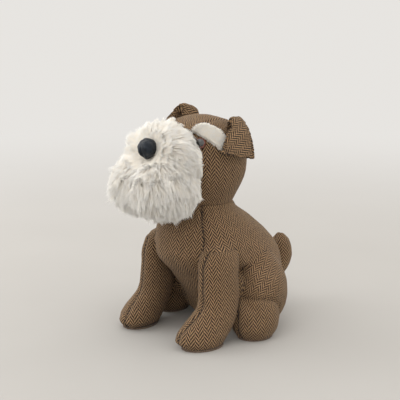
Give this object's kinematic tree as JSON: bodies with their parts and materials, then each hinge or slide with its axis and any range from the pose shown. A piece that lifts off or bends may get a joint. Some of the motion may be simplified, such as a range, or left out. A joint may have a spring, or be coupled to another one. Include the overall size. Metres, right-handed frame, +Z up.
{
  "type": "weighted fabric door stop",
  "caption": "Seated dog shaped door stop in stuffed tweed with a long pile muzzle and a sand bag sewn into its seat.",
  "frame": {"origin": "on the floor under the middle of the whole dog", "axes": "+Z up, the dog looks along -Y, its left side is +X"},
  "size_m": [0.1818, 0.2494, 0.2453],
  "materials": {
    "tweed": "brown and beige herringbone woven wool look cloth, matt, slightly hairy",
    "pile": "cream white long pile, matt with a soft sheen along the strands",
    "velvet": "black short velvet with a soft sheen",
    "eye": "polished moulded plastic, red brown iris round a black pupil",
    "canvas": "plain woven cotton canvas, matt",
    "sand": "dry sand in a cotton bag"
  },
  "bodies": {
    "root": {"torso": "tweed", "weight_pouch": "sand", "base_panel": "canvas", "head": "tweed", "front_leg_left": "tweed", "front_leg_right": "tweed", "front_sole_left": "canvas", "front_sole_right": "canvas", "haunch_left": "tweed", "haunch_right": "tweed", "hind_foot_left": "tweed", "hind_foot_right": "tweed", "hind_sole_left": "canvas", "hind_sole_right": "canvas", "tail": "tweed", "ear_left": "tweed", "ear_right": "tweed", "eye_left": "eye", "eye_right": "eye", "brow_left": "pile", "brow_right": "pile", "nose": "velvet", "muzzle": "pile"}
  },
  "joints": []
}
